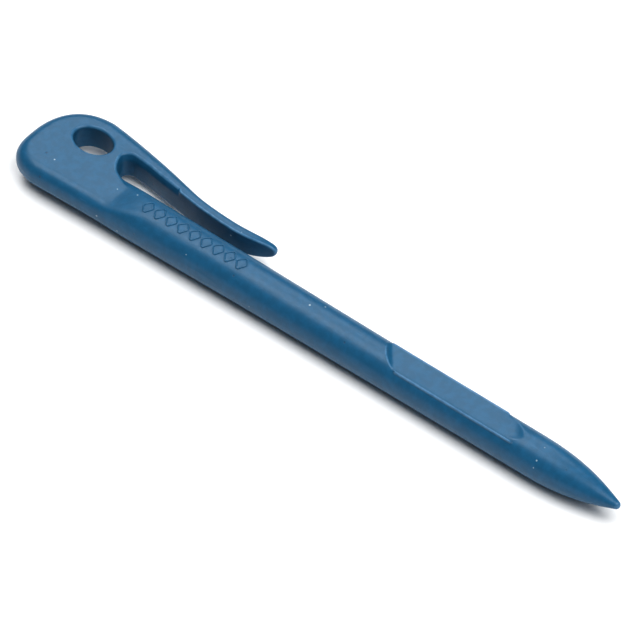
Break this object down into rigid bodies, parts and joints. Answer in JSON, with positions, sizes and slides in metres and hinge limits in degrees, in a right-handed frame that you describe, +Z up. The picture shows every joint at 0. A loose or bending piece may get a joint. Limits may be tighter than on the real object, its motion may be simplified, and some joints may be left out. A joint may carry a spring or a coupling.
{
  "type": "one-piece plastic stylus",
  "caption": "One-piece moulded blue plastic stylus with a flat lanyard eye, springy pocket clip, sunk finger rest and a solid rounded point.",
  "frame": {"origin": "bottom centre of the bounding box, with the stylus lying flat on a surface", "axes": "+X along the barrel from the head to the point, +Y from the barrel towards the pocket clip, +Z up, square to the flat head"},
  "size_m": [0.1406, 0.0195, 0.0092],
  "materials": {
    "blue_moulded_plastic": "satin moulded blue with fine specks"
  },
  "bodies": {
    "stylus_body": {"lanyard_head": "blue_moulded_plastic", "barrel": "blue_moulded_plastic", "finger_grip": "blue_moulded_plastic", "stylus_nose": "blue_moulded_plastic", "grip_marks": "blue_moulded_plastic"},
    "clip": {"pocket_clip": "blue_moulded_plastic"}
  },
  "joints": [
    {"name": "clip_flex", "type": "hinge", "parent": "stylus_body", "child": "clip", "pos_m": [-0.04375, 0.00496, 0.00447], "axis": [0, 0, 1], "range_deg": [0, 6], "stiffness_Nm_per_rad": 1.2}
  ]
}
